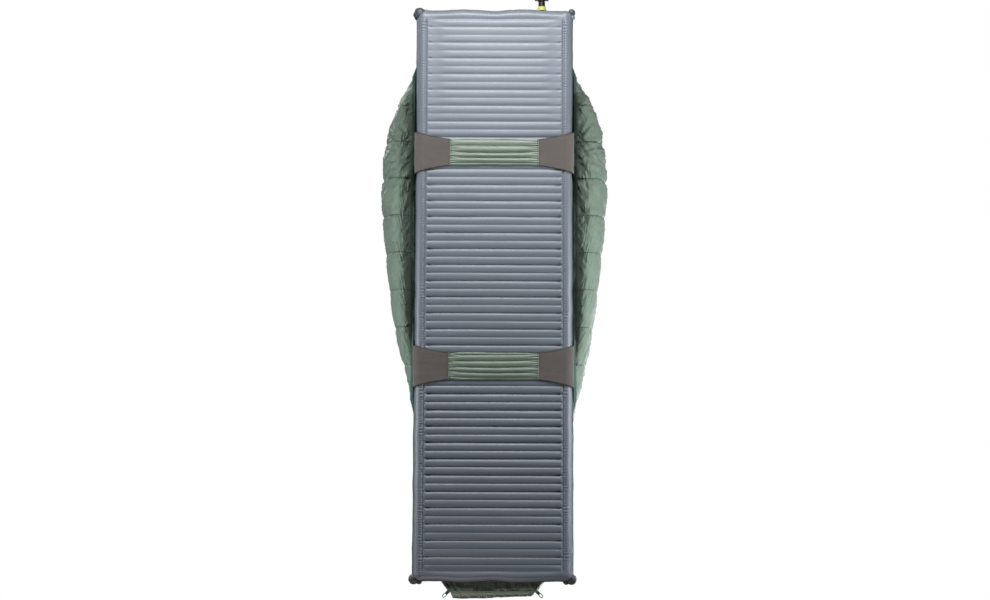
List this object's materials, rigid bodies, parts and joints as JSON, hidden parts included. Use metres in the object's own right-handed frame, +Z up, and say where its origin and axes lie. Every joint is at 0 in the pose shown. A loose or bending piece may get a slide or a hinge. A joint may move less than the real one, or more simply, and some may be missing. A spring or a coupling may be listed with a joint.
{
  "type": "camp quilt",
  "caption": "Down camp quilt strapped round an inflatable sleeping pad: padded arch with closed footbox, neck closure and stretch strap loops that the pad slides out of.",
  "frame": {"origin": "on the ground under the middle of the pad, halfway between the hang loops at the foot and the end of the valve knob", "axes": "+X across the pad, +Y along it towards the sleeper's head, +Z up from the ground"},
  "size_m": [0.7318, 1.924, 0.355],
  "materials": {
    "shell_fabric": "thin ripstop nylon with a soft sheen, sage grey-green",
    "liner_fabric": "plain thin nylon, darker grey-green",
    "down": "loose white down",
    "binding": "folded nylon binding, dark teal",
    "stretch_knit": "matt stretch knit, taupe",
    "elastic": "woven elastic band, black",
    "cord": "braided cord, green",
    "pad_bottom_fabric": "coated nylon with a satin sheen, slate grey-blue",
    "pad_top_fabric": "coated nylon, charcoal",
    "core_film": "thin metallised film",
    "black_plastic": "moulded, fine grain",
    "green_plastic": "moulded, yellow-green",
    "seal_rubber": "soft rubber",
    "spring_steel": "bright wire"
  },
  "bodies": {
    "quilt": {"outer_shell": "shell_fabric", "inner_liner_with_baffles": "liner_fabric", "down_fill_01": "down", "down_fill_02": "down", "down_fill_03": "down", "down_fill_04": "down", "down_fill_05": "down", "down_fill_06": "down", "down_fill_07": "down", "down_fill_08": "down", "down_fill_09": "down", "down_fill_10": "down", "down_fill_11": "down", "down_fill_12": "down", "down_fill_13": "down", "hem_binding_left": "binding", "hem_binding_right": "binding", "footbox_floor_cover": "shell_fabric", "footbox_floor_fill": "down", "footbox_floor_liner": "liner_fabric", "foot_end_cover": "shell_fabric", "foot_end_fill": "down", "foot_end_liner": "liner_fabric", "upper_strap_panel_left": "stretch_knit", "upper_strap_panel_right": "stretch_knit", "upper_strap_sleeve": "shell_fabric", "upper_strap_elastic": "elastic", "lower_strap_panel_left": "stretch_knit", "lower_strap_panel_right": "stretch_knit", "lower_strap_sleeve": "shell_fabric", "lower_strap_elastic": "elastic"},
    "left_loop": {"hang_loop_left": "cord"},
    "right_loop": {"hang_loop_right": "cord"},
    "collar": {"collar_shell": "shell_fabric", "collar_liner_with_baffle": "liner_fabric", "collar_fill_lower": "down", "collar_fill_upper": "down", "collar_hem_left": "binding", "collar_hem_right": "binding", "neck_rim_binding": "binding", "neck_drawcord": "cord", "neck_tab_left": "binding", "neck_snap_stud": "black_plastic"},
    "right_tab": {"neck_tab_right": "binding", "neck_snap_socket": "black_plastic"},
    "cord_lock": {"cord_lock_body": "black_plastic", "cord_lock_spring": "spring_steel"},
    "cord_lock_button": {"cord_lock_plunger": "black_plastic"},
    "pad": {"pad_bottom_skin": "pad_bottom_fabric", "pad_top_skin": "pad_top_fabric", "core_lower_truss": "core_film", "core_middle_film": "core_film", "core_upper_truss": "core_film", "valve_body": "black_plastic", "valve_collar": "green_plastic", "valve_seal_ring": "seal_rubber"},
    "valve_twist_knob": {"valve_knob": "black_plastic"},
    "valve_flap": {"valve_check_flap": "seal_rubber"}
  },
  "joints": [
    {"name": "pad_slide", "type": "slide", "parent": "quilt", "child": "pad", "axis": [0, 1, 0], "range_m": [0, 1.45]},
    {"name": "collar_lift", "type": "hinge", "parent": "quilt", "child": "collar", "pos_m": [0, 0.609, 0.351], "axis": [1, 0, 0], "range_deg": [0, 40]},
    {"name": "neck_tab_open", "type": "hinge", "parent": "collar", "child": "right_tab", "pos_m": [-0.1418, 0.838, 0.0902], "axis": [0, -1, 0], "range_deg": [0, 45]},
    {"name": "cord_lock_slide", "type": "slide", "parent": "collar", "child": "cord_lock", "axis": [0, 1, 0], "range_m": [0, 0.024]},
    {"name": "cord_lock_press", "type": "slide", "parent": "cord_lock", "child": "cord_lock_button", "axis": [0, 0, -1], "range_m": [0, 0.004], "deforming": ["cord_lock_spring"]},
    {"name": "left_loop_swing", "type": "hinge", "parent": "quilt", "child": "left_loop", "pos_m": [0.148, -0.9484, 0.16], "axis": [0.7071, 0.7071, 0], "range_deg": [-60, 60]},
    {"name": "right_loop_swing", "type": "hinge", "parent": "quilt", "child": "right_loop", "pos_m": [-0.148, -0.9484, 0.16], "axis": [0.7071, -0.7071, 0], "range_deg": [-60, 60]},
    {"name": "valve_turn", "type": "hinge", "parent": "pad", "child": "valve_twist_knob", "pos_m": [-0.15, 0.952, 0.0411], "axis": [0, 1, 0], "range_deg": [0, 90]},
    {"name": "valve_flap_open", "type": "hinge", "parent": "pad", "child": "valve_flap", "pos_m": [-0.15, 0.9045, 0.0501], "axis": [-1, 0, 0], "range_deg": [0, 40]}
  ]
}
